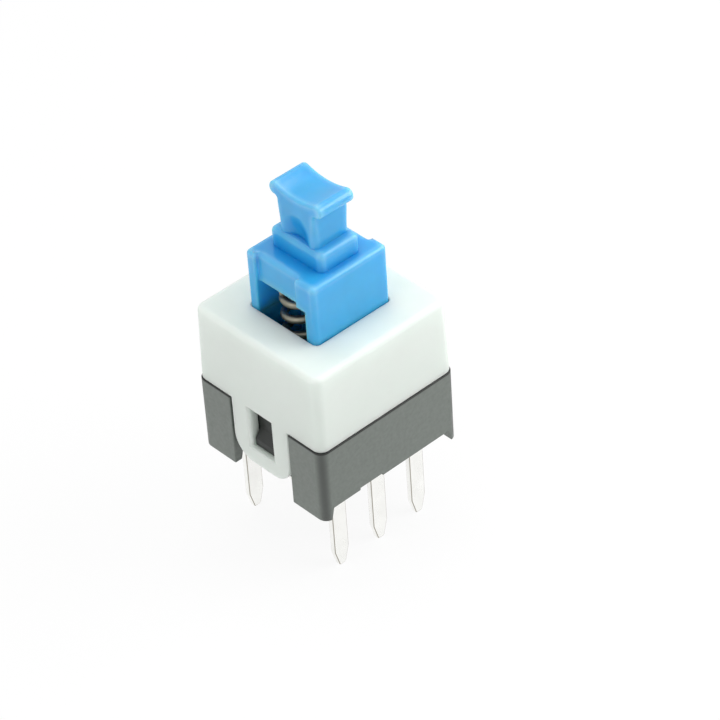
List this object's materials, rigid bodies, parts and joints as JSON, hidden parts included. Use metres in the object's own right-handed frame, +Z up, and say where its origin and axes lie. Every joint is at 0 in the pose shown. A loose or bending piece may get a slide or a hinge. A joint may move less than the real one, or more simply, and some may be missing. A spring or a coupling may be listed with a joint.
{
  "type": "self-locking push switch",
  "caption": "Small square push switch that latches: housing clipped over a moulded base, sprung plunger with a cap stem, heart-cam lock pin and rows of flat solder pins.",
  "frame": {"origin": "centre of the plane that the base's feet stand on, which is the board's upper face", "axes": "+Z up along the plunger, +X along the terminal rows towards the work terminals, +Y across the rows"},
  "size_m": [0.0086, 0.0086, 0.0192],
  "materials": {
    "base": "satin moulded",
    "housing": "satin translucent nylon",
    "plunger": "semi-gloss moulded",
    "spring_wire": "drawn wire",
    "lock_wire": "drawn wire",
    "contact_leaf": "rolled strip",
    "terminal": "tin plated strip"
  },
  "bodies": {
    "body": {"base": "base", "housing": "housing", "return_spring": "spring_wire", "front_rest_terminal": "terminal", "front_common_terminal": "terminal", "front_work_terminal": "terminal", "rear_rest_terminal": "terminal", "rear_common_terminal": "terminal", "rear_work_terminal": "terminal"},
    "plunger": {"plunger": "plunger", "front_moving_contact": "contact_leaf", "rear_moving_contact": "contact_leaf"},
    "lock_pin": {"lock_pin": "lock_wire"}
  },
  "joints": [
    {"name": "plunger_press", "type": "slide", "parent": "body", "child": "plunger", "axis": [0, 0, -1], "range_m": [0, 0.0022], "stiffness_N_per_m": 450, "springref_m": -0.003, "deforming": ["return_spring"]},
    {"name": "lock_pin_swing", "type": "hinge", "parent": "body", "child": "lock_pin", "pos_m": [0.0033, 0.0002, 0.0024], "axis": [-1, 0, 0], "range_deg": [0, 28.3]}
  ]
}
